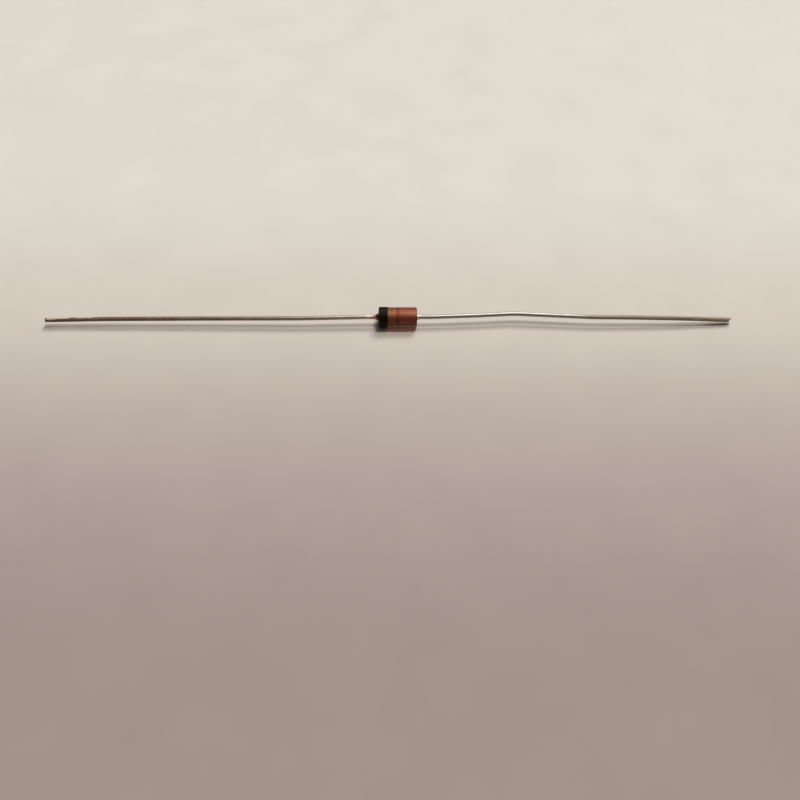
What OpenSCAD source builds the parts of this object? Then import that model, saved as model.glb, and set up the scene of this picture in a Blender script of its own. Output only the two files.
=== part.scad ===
// Axial glass diode, cut from its carrier tape and lying on a table. A glass sleeve
// is sealed onto two studs that pinch the chip between them, a wire lead is welded to
// the outer face of each stud, and a painted band round the glass marks the cathode.
// The body's axis runs along X with the cathode at -X, and Z = 0 is the table. The
// origin is under the middle of the whole length, tip to tip.

/* [Glass sleeve] */
// Outside diameter of the glass
glass_d = 1.82; // [1.7:0.02:2.2]
// Length of the glass over its two fused ends
glass_len = 3.54; // [3.2:0.02:4.2]
// Radius that sealing gives the outer edge of each end
glass_round = 0.2; // [0.1:0.02:0.26]
// Radius of the inner edge of each end, where the glass draws back to the stud
glass_lip = 0.06; // [0.02:0.01:0.08]

/* [Cathode band] */
// Distance from the end of the glass to the inner edge of the band
band_w = 0.86; // [0.5:0.02:1.4]
// Thickness of the paint
band_t = 0.02; // [0.01:0.005:0.04]
// Bare glass left between the end of the sleeve and the paint
band_margin = 0.04; // [0.02:0.01:0.12]

/* [Studs] */
// Diameter of the copper-clad studs, which is also the bore of the glass
stud_d = 1.12; // [0.8:0.02:1.2]
// Depth of each stud's outer face below the end of the glass
stud_recess = 0.1; // [0.06:0.01:0.2]
// Radius on the edges of the studs
stud_edge = 0.03; // [0.01:0.01:0.06]

/* [Chip] */
// Width of the square silicon chip
chip_w = 0.34; // [0.2:0.02:0.6]
// Thickness of the chip
chip_t = 0.14; // [0.1:0.01:0.24]
// Diameter of the silver bump on the chip's anode side
bump_d = 0.2; // [0.1:0.02:0.3]
// Height of the bump
bump_t = 0.05; // [0.03:0.01:0.08]

/* [Leads] */
// Diameter of the lead wire
wire_d = 0.4; // [0.3:0.02:0.56]
// Reach of the cathode lead beyond the glass
cathode_reach = 30.6; // [27:0.2:38]
// Reach of the anode lead beyond the glass
anode_reach = 28.8; // [26:0.2:38]
// Clearance under the tip of the cathode lead as the diode lies
cathode_tip_gap = 0.46; // [0:0.02:0.6]
// Clearance under the tip of the anode lead as the diode lies
anode_tip_gap = 0.2; // [0:0.02:0.6]
// Angle of the shears across the tip of the cathode lead
cathode_slant = 8; // [0:1:50]
// Angle of the shears across the tip of the anode lead
anode_slant = 46; // [0:1:50]

/* [Welds] */
// Diameter of the cathode lead's weld cone where it meets the stud
cone_d = 0.76; // [0.6:0.02:0.9]
// Length of the weld cone
cone_len = 0.42; // [0.3:0.02:0.6]
// Diameter of the anode lead's weld bead
bead_d = 0.54; // [0.44:0.02:0.7]
// Height of the middle of the bead above the stud
bead_rise = 0.12; // [0.05:0.01:0.2]

/* [Hidden] */
$fn = 48;

axis_h = glass_d / 2 + band_t;
body_x = (cathode_reach - anode_reach) / 2;
stack_t = chip_t + bump_t;
stud_len = (glass_len - stack_t) / 2 - stud_recess;
stud_x = (stack_t + stud_len) / 2;
wire_r = wire_d / 2;

// A lead's course from the face of its stud to its tip. Each row is a distance beyond
// the glass, an offset to the side, a share of the whole droop, and a bend radius.
function route(bends, reach, tip_side) =
    concat([[-stud_recess, 0, 0, 0]], bends, [[reach, tip_side, 1, 0]]);
cathode_route = route([
    [1.2, 0, 0, 20],
    [7, -0.13, 0.15, 60],
    [16, -0.1, 0.35, 60],
    [25, -0.08, 0.65, 60]], cathode_reach, -0.13);
anode_route = route([
    [1.2, 0, 0, 20],
    [5.8, 0.22, 0, 40],
    [8.9, 0.43, 0, 6],
    [16.1, 0.02, 0.06, 8],
    [20.1, 0.02, 0.16, 60],
    [24.2, 0.03, 0.4, 60]], anode_reach, 0.15);

// A bend draws the wire down this much, and its solid laps this far into the
// straight stretches on each side of it
bend_draw = 0.002;
bend_lap = 0.04;

function unit(v) = v / norm(v);

// The route's rows as points in the lead's frame, for a tip that hangs drop below
// the body's axis
function points(rows, drop) = [for (row = rows) [row[0], row[1], -drop * row[2]]];

// Angle that the wire turns through at point i, and the length that the bend
// there takes from the stretch on each side of it
function turn_at(pts, i) = acos(min(1, unit(pts[i] - pts[i - 1]) * unit(pts[i + 1] - pts[i])));
function setback(pts, rows, i) =
    i == 0 || i == len(pts) - 1 ? 0 : rows[i][3] * tan(turn_at(pts, i) / 2);

// Angle about the wire, from side, at which a direction lies
function roll_to(direction, ahead, side) =
    atan2(direction * cross(ahead, side), direction * side);

// Half section of a round bar along its axis, with both end edges rounded
module bar_section(length, r, edge) {
    translate([0, -length / 2]) square([r - edge, length]);
    translate([0, edge - length / 2]) square([r, length - 2 * edge]);
    for (end = [-1, 1]) translate([r - edge, end * (length / 2 - edge)]) circle(r = edge);
}

// Turns a half section about the body's axis
module on_axis(x = 0) {
    translate([body_x + x, 0, axis_h]) rotate([0, 90, 0]) rotate_extrude() children();
}

// One lead from point i on, in a frame whose Z runs along the stretch: the stretch,
// then a true arc in the plane of the bend, then the rest of the lead beyond it
module wire_from(pts, rows, slant, i, ahead, side) {
    run = norm(pts[i + 1] - pts[i]) - setback(pts, rows, i) - setback(pts, rows, i + 1);
    if (i == len(pts) - 2) {
        difference() {
            cylinder(h = run + wire_d, r = wire_r);
            rotate([0, 0, roll_to([0, 1, 1], ahead, side)])
                translate([0, 0, run]) rotate([0, -slant, 0])
                    translate([-2 * wire_d, -2 * wire_d, 0]) cube(4 * wire_d);
        }
    } else {
        beyond = unit(pts[i + 2] - pts[i + 1]);
        turn = turn_at(pts, i + 1);
        toward = unit(beyond - (beyond * ahead) * ahead);
        bend_r = rows[i + 1][3];
        lap = bend_lap / bend_r * 180 / PI;
        cylinder(h = run, r = wire_r);
        translate([0, 0, run]) rotate([0, 0, roll_to(toward, ahead, side)]) {
            translate([bend_r, 0, 0]) rotate([90, -lap, 0])
                rotate_extrude(angle = -turn - 2 * lap)
                    translate([-bend_r, 0]) circle(r = wire_r - bend_draw);
            translate([bend_r, 0, 0]) rotate([0, turn, 0]) translate([-bend_r, 0, 0])
                wire_from(pts, rows, slant, i + 1, beyond,
                    toward * cos(turn) - ahead * sin(turn));
        }
    }
}

// A lead in its own frame: X leaves the end of the glass along the body's axis. The
// children make its weld, which stands on the face of the stud.
module lead(rows, tip_gap, slant) {
    pts = points(rows, axis_h - wire_r - tip_gap);
    translate([-stud_recess, 0, 0]) rotate([0, 90, 0]) rotate([0, 0, 90]) {
        wire_from(pts, rows, slant, 0, [1, 0, 0], [0, 1, 0]);
        children();
    }
}

// A lead's place: its frame on the anode's end of the glass, or mirrored at the other
module at_end(anode) {
    translate([body_x, 0, axis_h]) mirror([anode ? 0 : 1, 0, 0])
        translate([glass_len / 2, 0, 0]) children();
}

module glass_sleeve() {
    color("sienna", 0.6) on_axis() difference() {
        bar_section(glass_len, glass_d / 2, glass_round);
        translate([0, -glass_len]) square([stud_d / 2, 2 * glass_len]);
        for (end = [-1, 1]) translate([stud_d / 2, end * glass_len / 2]) difference() {
            square(2 * glass_lip, center = true);
            translate([glass_lip, -end * glass_lip]) circle(r = glass_lip);
        }
    }
}

module cathode_band() {
    color("black") on_axis() intersection() {
        difference() {
            bar_section(glass_len + 2 * band_t, glass_d / 2 + band_t, glass_round + band_t);
            bar_section(glass_len, glass_d / 2, glass_round);
        }
        translate([0, band_margin - glass_len / 2]) square([glass_d, band_w - band_margin]);
    }
}

module stud() {
    color("firebrick") bar_section(stud_len, stud_d / 2, stud_edge);
}

module cathode_stud() {
    on_axis(-stud_x) stud();
}

module anode_stud() {
    on_axis(stud_x) stud();
}

module silicon_chip() {
    color("dimgray") translate([body_x - bump_t / 2, 0, axis_h])
        cube([chip_t, chip_w, chip_w], center = true);
}

module chip_bump() {
    color("silver") translate([body_x + chip_t / 2, 0, axis_h]) rotate([0, 90, 0])
        cylinder(h = bump_t, d = bump_d, center = true);
}

module cathode_lead() {
    color("darkgray") at_end(anode = false) lead(cathode_route, cathode_tip_gap, cathode_slant)
        cylinder(h = cone_len, r1 = cone_d / 2, r2 = wire_r - bend_draw);
}

module anode_lead() {
    color("silver") at_end(anode = true) lead(anode_route, anode_tip_gap, anode_slant)
        intersection() {
            translate([0, 0, bead_rise]) sphere(d = bead_d);
            cylinder(h = bead_d + bead_rise, d = 2 * bead_d);
        }
}

glass_sleeve();
cathode_band();
cathode_stud();
anode_stud();
silicon_chip();
chip_bump();
cathode_lead();
anode_lead();
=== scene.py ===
import math

import bmesh
import bpy
from mathutils import Matrix, Vector, noise


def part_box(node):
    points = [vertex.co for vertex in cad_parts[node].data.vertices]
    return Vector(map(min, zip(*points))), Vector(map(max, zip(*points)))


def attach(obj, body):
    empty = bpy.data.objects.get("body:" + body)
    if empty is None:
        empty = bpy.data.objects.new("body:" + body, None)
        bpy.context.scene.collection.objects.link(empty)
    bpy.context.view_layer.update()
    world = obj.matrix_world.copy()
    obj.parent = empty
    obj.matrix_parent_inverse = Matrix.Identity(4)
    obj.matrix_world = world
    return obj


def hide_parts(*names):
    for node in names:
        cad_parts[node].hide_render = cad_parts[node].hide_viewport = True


# Axial glass diode lying on pale paper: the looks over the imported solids.
# Shapes are made in millimetres, and finishPiece turns them into the frame's metres.
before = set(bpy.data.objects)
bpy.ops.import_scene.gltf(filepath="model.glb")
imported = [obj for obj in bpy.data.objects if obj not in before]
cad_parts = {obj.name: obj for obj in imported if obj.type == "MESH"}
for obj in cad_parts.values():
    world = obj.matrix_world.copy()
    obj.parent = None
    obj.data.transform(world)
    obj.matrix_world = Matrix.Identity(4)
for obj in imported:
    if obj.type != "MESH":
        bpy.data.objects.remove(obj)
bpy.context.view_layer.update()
mm = 0.001

glassLow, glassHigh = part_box("glass_sleeve")
bandLow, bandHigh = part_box("cathode_band")
axisHeight = (glassLow.z + glassHigh.z) / 2 / mm
bodyX = (glassLow.x + glassHigh.x) / 2 / mm
glassLength = (glassHigh.x - glassLow.x) / mm
glassRadius = (glassHigh.z - glassLow.z) / 2 / mm
print("frame loaded: glass %.2f x %.2f mm" % (glassLength, 2 * glassRadius))


# an sRGB hex colour as a shader takes it
def linear(hexColour):
    channels = [int(hexColour[i:i + 2], 16) / 255 for i in (1, 3, 5)]
    return [c / 12.92 if c <= 0.04045 else ((c + 0.055) / 1.055) ** 2.4 for c in channels] + [1]


# settings are properties by name or sockets by name or number; links join sockets to other nodes
def addNode(tree, kind, settings=None, links=None):
    made = tree.nodes.new("ShaderNode" + kind)
    for key, value in (settings or {}).items():
        if isinstance(key, str) and hasattr(made, key):
            setattr(made, key, value)
    for key, value in (settings or {}).items():
        if not (isinstance(key, str) and hasattr(made, key)):
            made.inputs[key].default_value = value
    for key, source in (links or {}).items():
        tree.links.new(source, made.inputs[key])
    return made


def newMaterial(name):
    material = bpy.data.materials.new(name)
    material.use_nodes = True
    tree = material.node_tree
    tree.nodes.clear()
    return material, tree


def setStops(ramp, stops):
    points = ramp.color_ramp.elements
    while len(points) < len(stops):
        points.new(0.5)
    for point, (position, colour) in zip(points, stops):
        point.position = position
        point.color = linear(colour) if isinstance(colour, str) else (colour, colour, colour, 1)


# object coordinates in millimetres, measured from a point in the frame
def millimetres(tree, origin, stretch=(1, 1, 1)):
    where = addNode(tree, "TexCoord")
    return addNode(tree, "Mapping", {
        "vector_type": "POINT",
        "Location": [-o * s for o, s in zip(origin, stretch)],
        "Scale": [s / mm for s in stretch],
    }, {"Vector": where.outputs["Object"]}).outputs["Vector"]


# turns a shape in millimetres into a piece of the diode
def finishPiece(bm, name, material, replaces, sharpAngle, body="root"):
    mesh = bpy.data.meshes.new(name)
    bmesh.ops.scale(bm, vec=(mm, mm, mm), verts=bm.verts)
    bm.to_mesh(mesh)
    bm.free()
    mesh.shade_smooth()
    mesh.set_sharp_from_angle(angle=math.radians(sharpAngle))
    piece = bpy.data.objects.new(name, mesh)
    bpy.context.scene.collection.objects.link(piece)
    mesh.materials.append(material)
    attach(piece, body)
    if replaces:
        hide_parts(*replaces)
    print("made %s: %d faces" % (name, len(mesh.polygons)))


# merges what lies together and turns every face outwards
def closeUp(bm, distance=0.0005):
    bmesh.ops.remove_doubles(bm, verts=bm.verts, dist=distance)
    bmesh.ops.recalc_face_normals(bm, faces=bm.faces)


# a bar's half section above the body's axis, with its corners rounded, turned about that axis
def turnSection(bm, left, right, inner, outer, outerRound, innerRound, steps, cuts):
    corners = [bm.verts.new((x, 0, axisHeight + r))
               for x, r in ((left, inner), (right, inner), (right, outer), (left, outer))]
    bm.faces.new(corners)
    for pair, radius, smooth in ((corners[2:], outerRound, 9), (corners[:2], innerRound, 4)):
        if radius:
            bmesh.ops.bevel(bm, geom=pair, offset=radius, offset_type="OFFSET", segments=smooth,
                            profile=0.5, affect="VERTICES", material=-1)
    bmesh.ops.delete(bm, geom=bm.faces[:], context="FACES_ONLY")
    longEdges = [e for e in bm.edges if abs(e.verts[0].co.x - e.verts[1].co.x) > (right - left) / 2]
    bmesh.ops.subdivide_edges(bm, edges=longEdges, cuts=cuts)
    bmesh.ops.spin(bm, geom=bm.verts[:] + bm.edges[:], cent=(0, 0, axisHeight), axis=(1, 0, 0),
                   dvec=(0, 0, 0), angle=math.tau, steps=steps, use_merge=True, use_duplicate=False)
    closeUp(bm)


# distance of a vertex from the body's axis
def fromAxis(v):
    return math.hypot(v.co.y, v.co.z - axisHeight)


# moves a vertex away from the body's axis
def pushOut(v, amount):
    away = Vector((0, v.co.y, v.co.z - axisHeight)).normalized()
    v.co += away * amount


cameraLook = {
    "target": (1.1, 0, axisHeight),  # point seen above the middle of the picture
    "elevation": 45,        # degrees above the table, seen from the target
    "distance": 110,        # millimetres from the target
    "film": 36,
    "wide": 73.3945,        # millimetres at the target that fill the picture from side to side
    "targetRise": 7.6147,   # millimetres at the target from the middle of the picture up to it
}


def setUpCamera(look):
    tilt = math.atan(look["targetRise"] / look["distance"])
    pitch = math.radians(look["elevation"]) + tilt
    distance = look["distance"] / math.cos(tilt)
    lens = bpy.data.cameras.new("camera")
    lens.sensor_width = look["film"]
    lens.lens = look["film"] * look["distance"] / look["wide"]
    lens.clip_start = 0.005
    lens.clip_end = 20
    camera = bpy.data.objects.new("camera", lens)
    up = math.radians(look["elevation"])
    camera.location = (Vector(look["target"])
                       + Vector((0, -math.cos(up), math.sin(up))) * distance) * mm
    camera.rotation_euler = (math.pi / 2 - pitch, 0, 0)
    bpy.context.scene.collection.objects.link(camera)
    bpy.context.scene.camera = camera


setUpCamera(cameraLook)
print("camera set")


lightLook = {
    # direction to each lamp, its share of the light on the table, and its angular size in degrees
    "lamps": {
        "ceilingLamp": {"towards": (0.22, 0.13, 1.0), "share": 0.47, "spread": 16},
        "windowLamp": {"towards": (0.36, 0.74, 1.0), "share": 0.43, "spread": 22},
    },
    "distance": 2000,       # so far out that no view has a lamp in it
    "lampColour": "#ffffff",
    "room": 0.17,           # level of the soft light from above and behind, fading to none low in front
    "mirrored": 0.36,       # the same as metal and glass show it
    "above": 0.9, "behind": 0.25,  # how much of the soft light comes from each
    "backdrop": "#e4dfd5",
}


def setUpLight(look):
    for name, lamp in look["lamps"].items():
        towards = Vector(lamp["towards"]).normalized()
        far = look["distance"] * mm
        size = 2 * far * math.tan(math.radians(lamp["spread"] / 2))
        data = bpy.data.lights.new(name, "AREA")
        data.shape = "DISK"
        data.size = size
        data.color = linear(look["lampColour"])[:3]
        data.energy = lamp["share"] * (math.pi * far) ** 2 / towards.z
        lampObject = bpy.data.objects.new(name, data)
        lampObject.location = towards * far
        lampObject.rotation_euler = towards.to_track_quat("Z", "Y").to_euler()
        lampObject.visible_transmission = False  # its light reaches the studs straight, as shadow rays
        bpy.context.scene.collection.objects.link(lampObject)
    world = bpy.data.worlds.new("softRoom")
    bpy.context.scene.world = world
    world.use_nodes = True
    tree = world.node_tree
    tree.nodes.clear()
    direction = addNode(tree, "TexCoord").outputs["Object"]
    parts = addNode(tree, "SeparateXYZ", links={"Vector": direction})
    high = addNode(tree, "Math", {"operation": "MULTIPLY", 1: look["above"]}, {0: parts.outputs["Z"]})
    back = addNode(tree, "Math", {"operation": "MULTIPLY_ADD", 1: look["behind"]},
                   {0: parts.outputs["Y"], 2: high.outputs[0]})
    rays = addNode(tree, "LightPath")
    shiny = addNode(tree, "Math", {"operation": "MAXIMUM"},
                    {0: rays.outputs["Is Glossy Ray"], 1: rays.outputs["Is Transmission Ray"]})
    top = addNode(tree, "MapRange", {"To Min": look["room"], "To Max": look["mirrored"]},
                  {"Value": shiny.outputs[0]})
    level = addNode(tree, "MapRange", {
        "interpolation_type": "SMOOTHSTEP", "From Min": -0.05, "From Max": 0.9, "To Min": 0,
    }, {"Value": back.outputs[0], "To Max": top.outputs["Result"]})
    seen = addNode(tree, "Mix", {"data_type": "RGBA", 7: linear(look["backdrop"])},
                   {0: rays.outputs["Is Camera Ray"], 6: level.outputs["Result"]})
    room = addNode(tree, "Background", {"Strength": 1.0}, {"Color": seen.outputs[2]})
    addNode(tree, "OutputWorld", links={"Surface": room.outputs[0]})


setUpLight(lightLook)
print("light set")


paperLook = {
    "size": 1200,
    # colour of the sheet by distance behind the diode (minus is in front); the darker band in front of
    # the diode is painted shade
    "colours": [(-200, "#d8d1c6"), (-75, "#a89a90"), (-36, "#9f8f87"), (-22, "#ab9b94"),
                (-10, "#bdb0a6"), (-1, "#d2c7bb"), (20, "#e2dcd0")],
    "cloud": 6.25,          # size of the mottle
    "fibre": 0.35,          # coarser than real fibres, so that they show
}


# uncoated copier paper: a matt sheet with a faint cloudy mottle and fibres that catch the light, with
# painted shade darkening it in a band in front of the diode
def makePaper(look):
    material, tree = newMaterial("uncoatedPaperWithPaintedShade")
    place = millimetres(tree, (0, 0, 0))
    parts = addNode(tree, "SeparateXYZ", links={"Vector": place})
    low, high = look["colours"][0][0], look["colours"][-1][0]
    share = addNode(tree, "MapRange", {"From Min": low, "From Max": high},
                    {"Value": parts.outputs["Y"]})
    # painted shade: the sheet's colour darkens in a band in front of the diode
    ramp = addNode(tree, "ValToRGB", links={"Fac": share.outputs["Result"]})
    ramp.color_ramp.interpolation = "B_SPLINE"
    setStops(ramp, [((y - low) / (high - low), c) for y, c in look["colours"]])
    clouds = addNode(tree, "TexNoise", {"Scale": 1 / look["cloud"], "Detail": 3}, {"Vector": place})
    mottle = addNode(tree, "MapRange", {
        "From Min": 0.3, "From Max": 0.7, "To Min": 0.975, "To Max": 1.02,
    }, {"Value": clouds.outputs["Fac"]})
    tinted = addNode(tree, "Mix", {"data_type": "RGBA", "blend_type": "MULTIPLY", 0: 1.0},
                     {6: ramp.outputs["Color"], 7: mottle.outputs["Result"]})
    fibres = addNode(tree, "TexNoise", {"Scale": 1 / look["fibre"], "Detail": 5, "Roughness": 0.6},
                     {"Vector": place})
    bump = addNode(tree, "Bump", {"Strength": 0.25, "Distance": 0.03 * mm},
                   {"Height": fibres.outputs["Fac"]})
    shader = addNode(tree, "BsdfPrincipled", {"Roughness": 0.85, "Specular IOR Level": 0.25},
                     {"Base Color": tinted.outputs[2], "Normal": bump.outputs["Normal"]})
    addNode(tree, "OutputMaterial", links={"Surface": shader.outputs[0]})
    bm = bmesh.new()
    bmesh.ops.create_grid(bm, x_segments=4, y_segments=4, size=look["size"] * mm / 2)
    mesh = bpy.data.meshes.new("paper")
    bm.to_mesh(mesh)
    bm.free()
    mesh.materials.append(material)
    sheet = bpy.data.objects.new("paper", mesh)
    bpy.context.scene.collection.objects.link(sheet)


makePaper(paperLook)
print("paper laid")


sleeveLook = {
    "outerRound": 0.2,
    "innerRound": 0.06,
    "boreLap": 0.006,       # the glass wets the studs, so its bore lies this far inside their skin
    "slump": 0.005,         # how uneven the flame leaves the outside
    "slumpLength": 1.1,
    "wave": 0.4545,         # size of the flow marks in its skin
    "tint": "#dcb094",
    "sheen": "#b08870",     # brown of the oxide taken up by its skin, seen where it mirrors head on
    "shadow": "#341610",    # light that the glass lets through to the table
    "toStuds": "#ecd2c2",   # light that it lets in to the studs
    "stray": "#b4745e",     # what is left of it once it has come out again
}


# soft lead glass, flame sealed: clear, quite strongly refracting, glossy with a faint uneven skin
def leadGlass(look):
    material, tree = newMaterial("leadGlassFlameSealed")
    place = millimetres(tree, (bodyX, 0, axisHeight))
    waves = addNode(tree, "TexNoise", {"Scale": 1 / look["wave"], "Detail": 2}, {"Vector": place})
    bump = addNode(tree, "Bump", {"Strength": 0.18, "Distance": 0.03 * mm},
                   {"Height": waves.outputs["Fac"]})
    smear = addNode(tree, "MapRange", {
        "From Min": 0.35, "From Max": 0.7, "To Min": 0.05, "To Max": 0.14,
    }, {"Value": waves.outputs["Fac"]})
    shader = addNode(tree, "BsdfPrincipled", {
        "Base Color": linear(look["tint"]),
        "IOR": 1.56,
        "Specular Tint": linear(look["sheen"]),
        "Transmission Weight": 1.0,
    }, {"Roughness": smear.outputs["Result"], "Normal": bump.outputs["Normal"]})
    # lamps light the studs through the glass, but the glass itself still throws its brown shadow
    rays = addNode(tree, "LightPath")
    inside = addNode(tree, "NewGeometry")
    passed = addNode(tree, "Mix", {
        "data_type": "RGBA", 6: linear(look["shadow"]), 7: linear(look["toStuds"]),
    }, {0: inside.outputs["Backfacing"]})
    # little of it comes out again to light the table under the body
    strayed = addNode(tree, "Mix", {
        "data_type": "RGBA", 6: linear("#ffffff"), 7: linear(look["stray"]),
    }, {0: rays.outputs["Diffuse Depth"]})
    dimmed = addNode(tree, "Mix", {"data_type": "RGBA", "blend_type": "MULTIPLY", 0: 1.0},
                     {6: passed.outputs[2], 7: strayed.outputs[2]})
    lampLight = addNode(tree, "BsdfTransparent", links={"Color": dimmed.outputs[2]})
    both = addNode(tree, "MixShader", links={0: rays.outputs["Is Shadow Ray"], 1: shader.outputs[0],
                                             2: lampLight.outputs[0]})
    addNode(tree, "OutputMaterial", links={"Surface": both.outputs[0]})
    return material


def makeSleeve(look):
    studLow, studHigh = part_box("cathode_stud")
    bore = (studHigh.z - studLow.z) / 2 / mm - look["boreLap"]
    bm = bmesh.new()
    half = glassLength / 2
    turnSection(bm, bodyX - half, bodyX + half, bore, glassRadius,
                look["outerRound"], look["innerRound"], steps=128, cuts=40)
    for v in bm.verts:
        if fromAxis(v) > bore + 0.05:
            unevenness = noise.noise(v.co / look["slumpLength"] + Vector((3, 1, 7)))
            pushOut(v, look["slump"] * (unevenness - 0.6))
    finishPiece(bm, "sleeve_glass", leadGlass(look), ["glass_sleeve"], 60)


makeSleeve(sleeveLook)


bandLook = {
    "lap": 0.004,           # the ink is bonded, so its inner face lies this far inside the glass
    "waver": 0.014,         # how far the printed edge wanders
    "edgeRound": 0.012,
    "pooled": 0.25,         # how much of the glass's rounded end still shows through the pooled ink
    "peel": 0.0714, "cloud": 0.4,  # size of the orange peel and of the thinner patches
    "thick": "#0f0d0a", "thin": "#1b1814",
    "sheen": "#ecd2b0",
}


# black epoxy marking ink, rolled on: half gloss, thin at its edges, with a fine orange peel
def markingInk(look):
    material, tree = newMaterial("blackEpoxyInkRolled")
    place = millimetres(tree, (bodyX, 0, axisHeight))
    peel = addNode(tree, "TexNoise", {"Scale": 1 / look["peel"], "Detail": 3}, {"Vector": place})
    bump = addNode(tree, "Bump", {"Strength": 0.35, "Distance": 0.01 * mm},
                   {"Height": peel.outputs["Fac"]})
    cloud = addNode(tree, "TexNoise", {"Scale": 1 / look["cloud"], "Detail": 4}, {"Vector": place})
    ramp = addNode(tree, "ValToRGB", links={"Fac": cloud.outputs["Fac"]})
    setStops(ramp, [(0.3, look["thick"]), (0.75, look["thin"])])
    rough = addNode(tree, "MapRange", {"To Min": 0.38, "To Max": 0.58}, {"Value": cloud.outputs["Fac"]})
    shader = addNode(tree, "BsdfPrincipled", {
        "IOR": 1.5, "Specular IOR Level": 0.1, "Specular Tint": linear(look["sheen"]),
    }, {
        "Base Color": ramp.outputs["Color"],
        "Roughness": rough.outputs["Result"],
        "Normal": bump.outputs["Normal"],
    })
    addNode(tree, "OutputMaterial", links={"Surface": shader.outputs[0]})
    return material


def makeBand(look):
    left, right = bandLow.x / mm, bandHigh.x / mm
    outer = (bandHigh.z - bandLow.z) / 2 / mm
    bm = bmesh.new()
    turnSection(bm, left, right, glassRadius - look["lap"], outer, look["edgeRound"], 0,
                steps=128, cuts=24)
    roundStart = glassLow.x / mm + sleeveLook["outerRound"]
    for v in bm.verts:
        # the ink's inner face follows the rounded end of the glass, and pooled ink squares it outside
        if v.co.x < roundStart:
            depth = (roundStart - v.co.x) / sleeveLook["outerRound"]
            follow = look["pooled"] if fromAxis(v) > glassRadius + look["lap"] else 1
            pushOut(v, -follow * sleeveLook["outerRound"] * (1 - math.sqrt(max(0, 1 - depth ** 2))))
        around = math.atan2(v.co.y, v.co.z - axisHeight)
        wander = noise.noise(Vector((math.cos(around), math.sin(around), 0)) * 2.1 + Vector((5, 5, 2)))
        fade = (v.co.x - left) / (right - left)
        v.co.x += look["waver"] * wander * (fade ** 6)
    finishPiece(bm, "band_cathode_ink", markingInk(look), ["cathode_band"], 50)


makeBand(bandLook)


studLook = {
    "edge": 0.05,
    "drawMarks": 0.003,     # depth of the lengthwise marks of drawing
    "streak": (1.7857, 0.125, 0.125),  # size of the finer ones, along and across the stud
    "cloud": 0.3846,        # size of the oxide's patches
    "cathode": {"light": "#825232", "dark": "#5e3018"},
    "anode": {"light": "#8a4336", "dark": "#66261d"},
    "oxideIor": 2.1,        # a dense skin, so its gloss is broad and strong
    "sheen": "#ebe9da",
}


# dumet: copper-clad nickel-iron wire, borated in a flame, so a skin of red copper oxide covers it
def redOxideSkin(name, colours, seed):
    material, tree = newMaterial(name)
    place = millimetres(tree, (bodyX + seed, 0, axisHeight))
    drawn = millimetres(tree, (bodyX + seed, 0, axisHeight), [1 / size for size in studLook["streak"]])
    clouds = addNode(tree, "TexNoise", {"Scale": 1 / studLook["cloud"], "Detail": 6, "Roughness": 0.62},
                     {"Vector": place})
    ramp = addNode(tree, "ValToRGB", links={"Fac": clouds.outputs["Fac"]})
    setStops(ramp, [(0.3, colours["dark"]), (0.72, colours["light"])])
    streaks = addNode(tree, "TexNoise", {"Scale": 1, "Detail": 4}, {"Vector": drawn})
    bump = addNode(tree, "Bump", {"Strength": 0.4, "Distance": 0.01 * mm},
                   {"Height": streaks.outputs["Fac"]})
    rough = addNode(tree, "MapRange", {"To Min": 0.42, "To Max": 0.6}, {"Value": streaks.outputs["Fac"]})
    shader = addNode(tree, "BsdfPrincipled", {
        "IOR": studLook["oxideIor"], "Specular Tint": linear(studLook["sheen"]),
    }, {
        "Base Color": ramp.outputs["Color"],
        "Roughness": rough.outputs["Result"],
        "Normal": bump.outputs["Normal"],
    })
    addNode(tree, "OutputMaterial", links={"Surface": shader.outputs[0]})
    return material


def makeStud(nodeName, pieceName, colours, seed, look):
    low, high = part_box(nodeName)
    left, right, radius = low.x / mm, high.x / mm, (high.z - low.z) / 2 / mm
    bm = bmesh.new()
    bmesh.ops.create_cone(bm, cap_ends=True, segments=96, radius1=radius, radius2=radius,
                          depth=right - left)
    rims = [e for e in bm.edges if abs(e.verts[0].co.z - e.verts[1].co.z) < 0.001]
    bmesh.ops.bevel(bm, geom=rims, offset=look["edge"], offset_type="OFFSET", segments=4, profile=0.5,
                    affect="EDGES", material=-1)
    longEdges = [e for e in bm.edges if abs(e.verts[0].co.z - e.verts[1].co.z) > 1]
    bmesh.ops.subdivide_edges(bm, edges=longEdges, cuts=20, use_grid_fill=True)
    bmesh.ops.rotate(bm, verts=bm.verts, cent=(0, 0, 0), matrix=Matrix.Rotation(math.pi / 2, 3, "Y"))
    bmesh.ops.translate(bm, verts=bm.verts, vec=((left + right) / 2, 0, axisHeight))
    for v in bm.verts:
        if fromAxis(v) > radius * 0.98:
            around = math.atan2(v.co.y, v.co.z - axisHeight)
            mark = noise.noise(
                Vector((v.co.x * 0.3 + seed, math.cos(around) * 6, math.sin(around) * 6)))
            pushOut(v, look["drawMarks"] * (mark - 0.5))
    closeUp(bm)
    finishPiece(bm, pieceName, redOxideSkin(pieceName + "_red_oxide", colours, seed),
                [nodeName], 40)


makeStud("cathode_stud", "stud_cathode", studLook["cathode"], 0, studLook)
makeStud("anode_stud", "stud_anode", studLook["anode"], 4, studLook)


stainLook = {
    "radius": 0.556,
    "thickness": 0.006,
    "lap": 0.06,            # how far it runs on over each stud
    "ragged": 0.05,         # how unevenly it ends
    "cloud": 0.2222,
    "colour": "#87492f", "deep": "#5a2a18",
}


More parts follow.
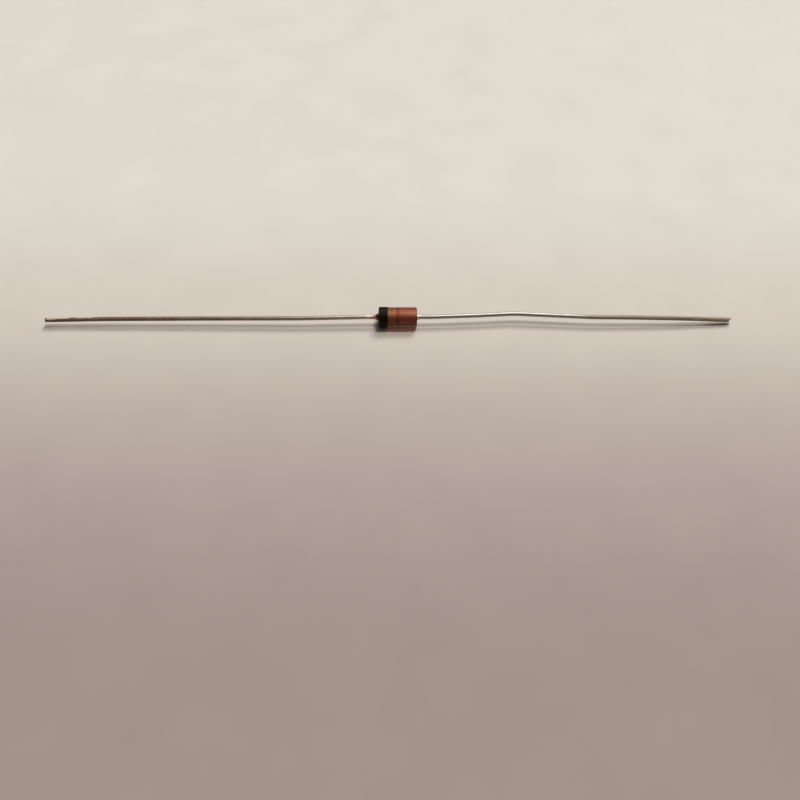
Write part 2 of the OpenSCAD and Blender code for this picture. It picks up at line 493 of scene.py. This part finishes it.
# red copper oxide taken up by the glass while it was soft: a brown stain on the bore between the studs
def oxideStain(look):
    material, tree = newMaterial("copperOxideStainInGlass")
    place = millimetres(tree, (bodyX, 0, axisHeight))
    clouds = addNode(tree, "TexNoise", {"Scale": 1 / look["cloud"], "Detail": 6, "Roughness": 0.6},
                     {"Vector": place})
    ramp = addNode(tree, "ValToRGB", links={"Fac": clouds.outputs["Fac"]})
    setStops(ramp, [(0.35, look["deep"]), (0.7, look["colour"])])
    bump = addNode(tree, "Bump", {"Strength": 0.5, "Distance": 0.01 * mm},
                   {"Height": clouds.outputs["Fac"]})
    shader = addNode(tree, "BsdfPrincipled", {"Roughness": 0.5, "Metallic": 0.2},
                     {"Base Color": ramp.outputs["Color"], "Normal": bump.outputs["Normal"]})
    addNode(tree, "OutputMaterial", links={"Surface": shader.outputs[0]})
    return material


def makeStain(look):
    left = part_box("cathode_stud")[1].x / mm
    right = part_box("anode_stud")[0].x / mm
    bm = bmesh.new()
    turnSection(bm, left - look["lap"], right + look["lap"], look["radius"] - look["thickness"],
                look["radius"], 0, 0, steps=96, cuts=8)
    for v in bm.verts:  # it creeps along the seal by a different length all round
        around = Vector((0, v.co.y, v.co.z - axisHeight)) * 3
        side = 1 if v.co.x > (left + right) / 2 else -1
        v.co.x += look["ragged"] * noise.noise(around + Vector((side, 2, 4)))
    finishPiece(bm, "stain_oxide_seal", oxideStain(look), [], 60)


makeStain(stainLook)


chipLook = {
    "bevel": 0.012,
    "street": 0.035,        # bare silicon left round the passivated face
    "step": 0.006, "depth": 0.004,
    "sawMarks": 0.01963,    # their spacing
    "face": "#4a4c50", "edge": "#2b2d33",
}


# planar silicon die: sawn edges, a polished dark grey face under clear passivation
def siliconDie(look):
    material, tree = newMaterial("passivatedSiliconSawn")
    place = millimetres(tree, (bodyX, 0, axisHeight))
    # a wave texture of scale 1 repeats every tau / 20
    saw = addNode(tree, "TexWave", {
        "Scale": math.tau / 20 / look["sawMarks"], "Distortion": 1.5, "Detail": 2, "bands_direction": "X",
    }, {"Vector": place})
    ramp = addNode(tree, "ValToRGB", links={"Fac": saw.outputs["Fac"]})
    setStops(ramp, [(0.2, look["edge"]), (0.8, look["face"])])
    bump = addNode(tree, "Bump", {"Strength": 0.3, "Distance": 0.004 * mm},
                   {"Height": saw.outputs["Fac"]})
    shader = addNode(tree, "BsdfPrincipled", {"Metallic": 0.7, "Roughness": 0.28},
                     {"Base Color": ramp.outputs["Color"], "Normal": bump.outputs["Normal"]})
    addNode(tree, "OutputMaterial", links={"Surface": shader.outputs[0]})
    return material


def makeChip(look):
    low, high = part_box("silicon_chip")
    size = (high - low) / mm
    bm = bmesh.new()
    bmesh.ops.create_cube(bm, size=1)
    bmesh.ops.scale(bm, vec=size, verts=bm.verts)
    bmesh.ops.bevel(bm, geom=bm.edges[:], offset=look["bevel"], offset_type="OFFSET", segments=2,
                    profile=0.5, affect="EDGES", material=-1)
    front = [f for f in bm.faces if f.normal.x > 0.99]
    bmesh.ops.inset_region(bm, faces=front, thickness=look["street"], depth=0.0)
    bmesh.ops.inset_region(bm, faces=front, thickness=look["step"], depth=-look["depth"])
    bmesh.ops.translate(bm, verts=bm.verts, vec=(low + high) / 2 / mm)
    closeUp(bm)
    finishPiece(bm, "die_silicon", siliconDie(look), ["silicon_chip"], 30)


makeChip(chipLook)


bumpLook = {
    "waist": 0.22,          # how far it bulges between chip and stud
    "foot": 0.82,           # its radius where it touches them, as a share of the whole
    "silver": "#cfcdc8", "shade": "#a9a39a", "grain": 0.03,
}


# electroplated silver: a dull white metal with a fine nodular grain
def platedSilver(look):
    material, tree = newMaterial("platedSilverNodular")
    place = millimetres(tree, (bodyX, 0, axisHeight))
    grain = addNode(tree, "TexVoronoi", {"Scale": 1 / look["grain"]}, {"Vector": place})
    ramp = addNode(tree, "ValToRGB", links={"Fac": grain.outputs["Distance"]})
    setStops(ramp, [(0.0, look["silver"]), (0.7, look["shade"])])
    bump = addNode(tree, "Bump", {"Strength": 0.4, "Distance": 0.006 * mm},
                   {"Height": grain.outputs["Distance"]})
    shader = addNode(tree, "BsdfPrincipled", {"Metallic": 1.0, "Roughness": 0.38},
                     {"Base Color": ramp.outputs["Color"], "Normal": bump.outputs["Normal"]})
    addNode(tree, "OutputMaterial", links={"Surface": shader.outputs[0]})
    return material


def makeBump(look):
    low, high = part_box("chip_bump")
    height, radius = (high.x - low.x) / mm, (high.z - low.z) / 2 / mm * look["foot"]
    bm = bmesh.new()
    bmesh.ops.create_cone(bm, cap_ends=True, segments=40, radius1=radius, radius2=radius, depth=height)
    rims = [e for e in bm.edges if abs(e.verts[0].co.z - e.verts[1].co.z) < 0.001]
    walls = [e for e in bm.edges if e not in rims]
    bmesh.ops.subdivide_edges(bm, edges=walls, cuts=5)
    for v in bm.verts:  # pressed flat between chip and stud, it bulges at its waist
        share = 2 * v.co.z / height
        bulge = 1 + look["waist"] * (1 - share ** 2)
        v.co.x *= bulge
        v.co.y *= bulge
    bmesh.ops.rotate(bm, verts=bm.verts, cent=(0, 0, 0), matrix=Matrix.Rotation(math.pi / 2, 3, "Y"))
    bmesh.ops.translate(bm, verts=bm.verts, vec=(low + high) / 2 / mm)
    closeUp(bm)
    finishPiece(bm, "bump_silver", platedSilver(look), ["chip_bump"], 40)


makeBump(bumpLook)


# The course of each lead, as in the part's source: distance beyond the glass, offset to the side,
# share of the droop, bend radius.
leadCourse = {
    "wireRadius": 0.2,
    "studRecess": 0.1,
    "cathode": {
        "reach": 30.6, "tipGap": 0.46, "tipSide": -0.13, "slant": 8, "mirror": -1,
        "bends": [(1.2, 0, 0, 20), (7, -0.13, 0.15, 60), (16, -0.1, 0.35, 60),
                  (25, -0.08, 0.65, 60)],
    },
    "anode": {
        "reach": 28.8, "tipGap": 0.2, "tipSide": 0.15, "slant": 46, "mirror": 1,
        "bends": [(1.2, 0, 0, 20), (5.8, 0.22, 0, 40), (8.9, 0.43, 0, 6), (16.1, 0.02, 0.06, 8),
                  (20.1, 0.02, 0.16, 60), (24.2, 0.03, 0.4, 60)],
    },
}


# walks the lead's course and gives stations (distance walked, point, heading) on its centre line
def walkCourse(course, extra=0.5):
    drop = axisHeight - leadCourse["wireRadius"] - course["tipGap"]
    rows = [(-leadCourse["studRecess"], 0, 0, 0), *course["bends"],
            (course["reach"], course["tipSide"], 1, 0)]
    corners = [Vector((row[0], row[1], -drop * row[2])) for row in rows]
    headings = [(b - a).normalized() for a, b in zip(corners, corners[1:])]
    cutBack = [0] + [row[3] * math.tan(a.angle(b) / 2)
                     for row, a, b in zip(rows[1:], headings, headings[1:])] + [0]
    point, walked = corners[0].copy(), -leadCourse["studRecess"]
    stations = [(walked, point.copy(), headings[0])]
    for i, heading in enumerate(headings):
        run = (corners[i + 1] - corners[i]).length - cutBack[i] - cutBack[i + 1]
        if i == len(headings) - 1:
            run += extra
        fine = walked < 1.5 or walked > course["reach"] - 6  # the weld and the gummed tip
        steps = max(1, round(run / (0.06 if fine else 0.25)))
        for _ in range(steps):
            point += heading * (run / steps)
            walked += run / steps
            stations.append((walked, point.copy(), heading))
        if i < len(headings) - 1:
            arc = rows[i + 1][3] * heading.angle(headings[i + 1])
            turns = max(4, round(arc / 0.12))
            for k in range(turns):
                middle = heading.slerp(headings[i + 1], (k + 0.5) / turns)
                point += middle * (arc / turns)
                walked += arc / turns
                stations.append((walked, point.copy(), heading.slerp(headings[i + 1], (k + 1) / turns)))
    return stations


# a ring's place: across the wire, to the side and up, scaled to its radii
def ringPlace(point, heading, sideRadius, upRadius):
    side = (Vector((0, 1, 0)) - heading * heading.y).normalized()
    up = heading.cross(side)
    turned = Matrix((side, up, heading)).transposed().to_4x4()
    return Matrix.Translation(point) @ turned @ Matrix.Diagonal((sideRadius, upRadius, 1, 1))


# pulls a ring of edges along the stations, so that it becomes a tube
def drawTube(bm, stations, radii, segments):
    bmesh.ops.create_circle(bm, cap_ends=False, radius=1, segments=segments)
    before = ringPlace(stations[0][1], stations[0][2], *radii(stations[0][0]))
    bmesh.ops.transform(bm, matrix=before, verts=bm.verts)
    edges = bm.edges[:]
    for walked, point, heading in stations[1:]:
        grown = bmesh.ops.extrude_edge_only(bm, edges=edges)["geom"]
        verts = [g for g in grown if isinstance(g, bmesh.types.BMVert)]
        fresh = set(verts)
        edges = [g for g in grown if isinstance(g, bmesh.types.BMEdge)
                 and g.verts[0] in fresh and g.verts[1] in fresh]
        after = ringPlace(point, heading, *radii(walked))
        bmesh.ops.transform(bm, matrix=after @ before.inverted(), verts=verts)
        before = after


# from the lead's own frame to the part's
def leadPlace(course):
    end = bodyX + course["mirror"] * glassLength / 2
    return Matrix.Translation((end, 0, axisHeight)) @ Matrix.Diagonal((course["mirror"], 1, 1, 1))


wireLook = {
    "segments": 40,
    "lumps": 0.004,         # unevenness of the dipped tin
    "spread": 0.06, "flatten": 0.05, "pinched": 0.5,  # what the shears did to the last stretch
    # the cut face: its rolled rim, the flat inside it, and the torn middle that stands proud
    "burr": 0.018, "lip": 0.05, "tear": 0.04, "tearRise": 0.012,
    "drawLine": (5.5556, 0.0952, 0.0952),  # size of the draw lines, along and across the wire
    "blotch": 0.7143,
    "wearLength": 31,       # what the wear tables are measured against
    "cathode": {
        # radius of the wire at the weld, by distance beyond the glass
        "weld": [(-0.1, 0.38), (-0.02, 0.365), (0.06, 0.325), (0.16, 0.265), (0.26, 0.225), (0.36, 0.205),
                 (0.5, 0.2)],
        "tin": "#c2b9ad", "tarnish": "#7d6756", "shine": (0.34, 0.64), "bareMetal": 0.75,
        # how far the tin has dulled, by distance beyond the glass
        "wear": [(0, 0.2), (1.3, 0.36), (4.2, 0.56), (8.6, 0.7), (11.6, 0.8), (16, 0.88), (21, 1)],
        # colour of the heated end, as shares of the way from the weld to 1.5 mm out
        "heat": [(0.0, "#3a1f1a"), (0.15, "#5a332a"), (0.25, "#b08476"), (0.6, "#cdb8a8")],
        "heatReach": (0.9, 1.5),
    },
    "anode": {
        "weld": [(-0.1, 0.245), (-0.04, 0.265), (0.03, 0.27), (0.1, 0.262), (0.18, 0.235), (0.27, 0.198),
                 (0.4, 0.192), (0.6, 0.2)],
        "tin": "#a09b92", "tarnish": "#8f8172", "shine": (0.44, 0.72), "bareMetal": 0.45,
        "wear": [(0, 0.0), (13.6, 0.05), (15.8, 0.6), (20.5, 0.84), (29, 0.95)],
        # for this lead the table gives grey bands: darker at the stud, lighter over the weld bead, darker
        # again at its neck
        "heat": [(0.0, "#8f857a"), (0.15, "#cfc8bc"), (0.3, "#8a8078"), (0.5, "#d6d2ca")],
        "heatReach": (0.3, 0.6),
    },
}


# reads a table of (x, y) rows at x, straight from row to row
def between(table, x):
    if x <= table[0][0]:
        return table[0][1]
    for (x0, y0), (x1, y1) in zip(table, table[1:]):
        if x <= x1:
            return y0 + (y1 - y0) * (x - x0) / (x1 - x0)
    return table[-1][1]


# tinned copper wire, drawn and hot dipped: a soft grey metal with lengthwise draw lines, which
# goes brown where it was heated and dull where it was handled
def tinnedWire(name, course, look):
    material, tree = newMaterial(name)
    end = bodyX + course["mirror"] * glassLength / 2
    place = millimetres(tree, (end, 0, axisHeight), (course["mirror"], 1, 1))
    drawn = millimetres(tree, (end, 0, axisHeight), [1 / size for size in wireLook["drawLine"]])
    along = addNode(tree, "SeparateXYZ", links={"Vector": place}).outputs["X"]
    lines = addNode(tree, "TexNoise", {"Scale": 1, "Detail": 4}, {"Vector": drawn})
    blotch = addNode(tree, "TexNoise", {"Scale": 1 / wireLook["blotch"], "Detail": 7, "Roughness": 0.65},
                     {"Vector": place})
    share = addNode(tree, "MapRange", {"From Max": wireLook["wearLength"]}, {"Value": along})
    dullness = addNode(tree, "ValToRGB", links={"Fac": share.outputs["Result"]})
    setStops(dullness, [(at / wireLook["wearLength"], amount) for at, amount in look["wear"]])
    patchy = addNode(tree, "Math", {"operation": "MULTIPLY_ADD", 1: 0.7, 2: -0.35},
                     {0: blotch.outputs["Fac"]})
    amount = addNode(tree, "Math", {"operation": "ADD", "use_clamp": True},
                     {0: dullness.outputs["Color"], 1: patchy.outputs[0]})
    metal = addNode(tree, "Mix", {
        "data_type": "RGBA", 6: linear(look["tin"]), 7: linear(look["tarnish"]),
    }, {0: amount.outputs[0]})
    heat = addNode(tree, "MapRange", {"From Min": -0.1, "From Max": 1.5}, {"Value": along})
    tint = addNode(tree, "ValToRGB", links={"Fac": heat.outputs["Result"]})
    setStops(tint, look["heat"])
    clear = addNode(tree, "MapRange", {
        "interpolation_type": "SMOOTHSTEP", "From Min": look["heatReach"][0],
        "From Max": look["heatReach"][1], "To Min": 1, "To Max": 0,
    }, {"Value": along})
    colour = addNode(tree, "Mix", {"data_type": "RGBA"},
                     {0: clear.outputs["Result"], 6: metal.outputs[2], 7: tint.outputs["Color"]})
    rough = addNode(tree, "MapRange", {"To Min": look["shine"][0], "To Max": look["shine"][1]},
                    {"Value": amount.outputs[0]})
    bare = addNode(tree, "MapRange", {"To Min": 1, "To Max": look["bareMetal"]},
                   {"Value": amount.outputs[0]})
    bump = addNode(tree, "Bump", {"Strength": 0.3, "Distance": 0.006 * mm},
                   {"Height": lines.outputs["Fac"]})
    shader = addNode(tree, "BsdfPrincipled", links={
        "Base Color": colour.outputs[2], "Roughness": rough.outputs["Result"],
        "Metallic": bare.outputs["Result"], "Normal": bump.outputs["Normal"]})
    addNode(tree, "OutputMaterial", links={"Surface": shader.outputs[0]})
    return material


def makeLead(side, nodeName, pieceName):
    course, look = leadCourse[side], wireLook[side]
    stations = walkCourse(course)

    def radii(walked):
        radius = between(look["weld"], walked)
        pinch = max(0, 1 - abs(course["reach"] - walked) / wireLook["pinched"])
        return radius * (1 + wireLook["spread"] * pinch), radius * (1 - wireLook["flatten"] * pinch)

    bm = bmesh.new()
    drawTube(bm, stations, radii, wireLook["segments"])
    for v in bm.verts:
        if v.co.x > 0.4:  # beyond the weld
            wave = noise.noise(Vector((v.co.x * 0.8, v.co.y * 2, v.co.z * 2 + 9)))
            v.co.z += wireLook["lumps"] * wave
    # the shears cut across the tip
    tipHeight = course["tipGap"] + leadCourse["wireRadius"] - axisHeight
    tip = Vector((course["reach"], course["tipSide"], tipHeight))
    lean = math.radians(course["slant"])
    high = Vector((0, 1, 1)).normalized()
    cut = Vector((math.cos(lean), 0, 0)) - high * math.sin(lean)
    bmesh.ops.bisect_plane(bm, geom=bm.verts[:] + bm.edges[:] + bm.faces[:], dist=0.00001,
                           plane_co=tip, plane_no=cut, clear_outer=True)
    bmesh.ops.holes_fill(bm, edges=bm.edges, sides=0)
    face = max(bm.faces, key=lambda f: f.calc_center_median().x)
    rim = list(face.edges)
    bmesh.ops.bevel(bm, geom=rim, offset=wireLook["burr"], offset_type="OFFSET", segments=3,
                    profile=0.5, affect="EDGES", material=-1)
    face = max((f for f in bm.faces if len(f.verts) > 12), key=lambda f: f.calc_center_median().x)
    bmesh.ops.inset_region(bm, faces=[face], thickness=wireLook["lip"], depth=0.0)
    bmesh.ops.inset_region(bm, faces=[face], thickness=wireLook["tear"], depth=wireLook["tearRise"])
    bmesh.ops.transform(bm, matrix=leadPlace(course), verts=bm.verts)
    closeUp(bm, 0.0001)
    finishPiece(bm, pieceName, tinnedWire(pieceName + "_tinned_copper", course, look),
                [nodeName], 35)
    return stations


cathodeStations = makeLead("cathode", "cathode_lead", "lead_cathode_wire")
anodeStations = makeLead("anode", "anode_lead", "lead_anode_wire")


gumLook = {
    "segments": 56,
    "clear": 0.004,         # the film's inner face stands this far off the wire
    "tipClear": 0.06,       # bare metal left at the very tip
    "lumps": 0.012,
    "ragged": 16,           # degrees by which its edges wander
    "cloud": 0.3333, "grit": 0.0625,  # size of the brown patches and of the paper dust
    # film: distance from the tip, angles from the wire's top to its front and back edges, thickness
    "cathode": {
        "film": [(0, 40, -150, 0.02), (0.4, 56, -140, 0.03), (0.9, 50, -120, 0.03),
                 (1.25, 26, -100, 0.02), (1.7, 40, -130, 0.03), (2.1, 20, -90, 0.02),
                 (2.5, -24, -60, 0.01), (2.8, 4, -110, 0.02), (3.2, 28, -140, 0.03),
                 (3.7, 12, -110, 0.02), (4.1, 24, -120, 0.02), (4.5, -20, -70, 0.01)],
        # the cream top and the brown sides are painted light and shade
        "cream": "#c6b29c", "brown": "#84704f", "seed": 3,
        "litToShadedTurn": (5, 60),   # degrees from the top between which cream turns brown
    },
    "anode": {
        "film": [(0, 78, -170, 0.04), (0.9, 82, -160, 0.06), (1.9, 70, -150, 0.05), (2.3, 24, -130, 0.03),
                 (3.2, -6, -90, 0.02), (3.6, 34, -120, 0.03), (4.4, 40, -140, 0.03),
                 (5.1, 22, -100, 0.02), (5.6, -40, -70, 0.01)],
        # the cream top and the brown sides are painted light and shade
        "cream": "#b39f88", "brown": "#8d795b", "seed": 11, "litToShadedTurn": (-10, 40),
    },
}


# rubber gum from the tape: a gritty cream film with brown patches, painted cream on top and brown down
# the sides as painted light and shade
def tapeGum(name, course, look):
    material, tree = newMaterial(name)
    end = bodyX + course["mirror"] * glassLength / 2
    place = millimetres(tree, (end, 0, axisHeight), (course["mirror"], 1, 1))
    cloud = addNode(tree, "TexNoise", {"Scale": 1 / gumLook["cloud"], "Detail": 7, "Roughness": 0.6},
                    {"Vector": place})
    # share of painted light on the film's top; where it falls away, the colour turns to painted shade
    litTopShare = addNode(tree, "Attribute", {"attribute_name": "cream"})
    mixed = addNode(tree, "Math", {"operation": "MULTIPLY_ADD", 1: 0.8, 2: -0.4},
                    {0: cloud.outputs["Fac"]})
    share = addNode(tree, "Math", {"operation": "ADD", "use_clamp": True},
                    {0: litTopShare.outputs["Fac"], 1: mixed.outputs[0]})
    ramp = addNode(tree, "ValToRGB", links={"Fac": share.outputs[0]})
    setStops(ramp, [(0.1, look["brown"]), (0.8, look["cream"])])
    grit = addNode(tree, "TexNoise", {"Scale": 1 / gumLook["grit"], "Detail": 4}, {"Vector": place})
    bump = addNode(tree, "Bump", {"Strength": 0.6, "Distance": 0.02 * mm},
                   {"Height": grit.outputs["Fac"]})
    shader = addNode(tree, "BsdfPrincipled", {"Roughness": 0.62, "IOR": 1.5}, {
        "Base Color": ramp.outputs["Color"], "Normal": bump.outputs["Normal"]})
    addNode(tree, "OutputMaterial", links={"Surface": shader.outputs[0]})
    return material


# angle about the wire from its top, positive towards the front
def turnFromTop(place, centre):
    return math.degrees(math.atan2(centre.y - place.y, place.z - centre.z))


def makeGum(side, stations, pieceName):
    course, look = leadCourse[side], gumLook[side]
    reach, film = course["reach"], look["film"]
    inner = leadCourse["wireRadius"] + gumLook["clear"]
    last = [s for s in stations if reach - film[-1][0] <= s[0] <= reach - gumLook["tipClear"]]
    fronts, backs, depths = [[(row[0], row[i]) for row in film] for i in (1, 2, 3)]

    def nearest(place):
        return min(last, key=lambda s: abs(s[1].x - place.x))

    bm = bmesh.new()
    paintedLightLayer = bm.verts.layers.float.new("cream")
    drawTube(bm, last, lambda walked: (inner, inner), gumLook["segments"])
    bare = []
    for f in bm.faces:
        middle = f.calc_center_median()
        walked, centre, _ = nearest(middle)
        turn = turnFromTop(middle, centre)
        ragged = gumLook["ragged"] * noise.noise(Vector((middle.x * 3, turn / 90, look["seed"])))
        front, back = between(fronts, reach - walked) + ragged, between(backs, reach - walked) - ragged
        if not back < turn < front:
            bare.append(f)
    bmesh.ops.delete(bm, geom=bare, context="FACES")
    for _ in range(2):
        bmesh.ops.smooth_vert(bm, verts=[v for v in bm.verts if v.is_boundary], factor=0.5,
                              use_axis_x=True, use_axis_y=True, use_axis_z=True)
    bmesh.ops.recalc_face_normals(bm, faces=bm.faces)
    skin = set(bm.verts)
    bmesh.ops.solidify(bm, geom=bm.faces[:], thickness=0.001)
    for v in bm.verts:
        walked, centre, _ = nearest(v.co)
        away = Vector((0, v.co.y - centre.y, v.co.z - centre.z))
        # painted light and shade: cream where the film faces up, brown as it turns down the sides
        turn = turnFromTop(v.co, centre)
        low, high = look["litToShadedTurn"]
        v[paintedLightLayer] = min(1, max(0, (high - turn) / (high - low)))
        depth = between(depths, reach - walked)
        lump = noise.noise(Vector((v.co.x * 4, v.co.y * 6, v.co.z * 6 + look["seed"])))
        radius = inner if v in skin else inner + depth + gumLook["lumps"] * lump
        v.co = centre + Vector((v.co.x - centre.x, 0, 0)) + away.normalized() * radius
    outside = [v for v in bm.verts if v not in skin]
    for _ in range(2):
        bmesh.ops.smooth_vert(bm, verts=outside, factor=0.5,
                              use_axis_x=True, use_axis_y=True, use_axis_z=True)
    bmesh.ops.transform(bm, matrix=leadPlace(course), verts=bm.verts)
    bmesh.ops.recalc_face_normals(bm, faces=bm.faces)
    finishPiece(bm, pieceName, tapeGum(pieceName + "_cream", course, look), [], 70)


makeGum("cathode", cathodeStations, "gum_cathode_tip")
makeGum("anode", anodeStations, "gum_anode_tip")

bpy.context.scene.view_settings.view_transform = "Standard"
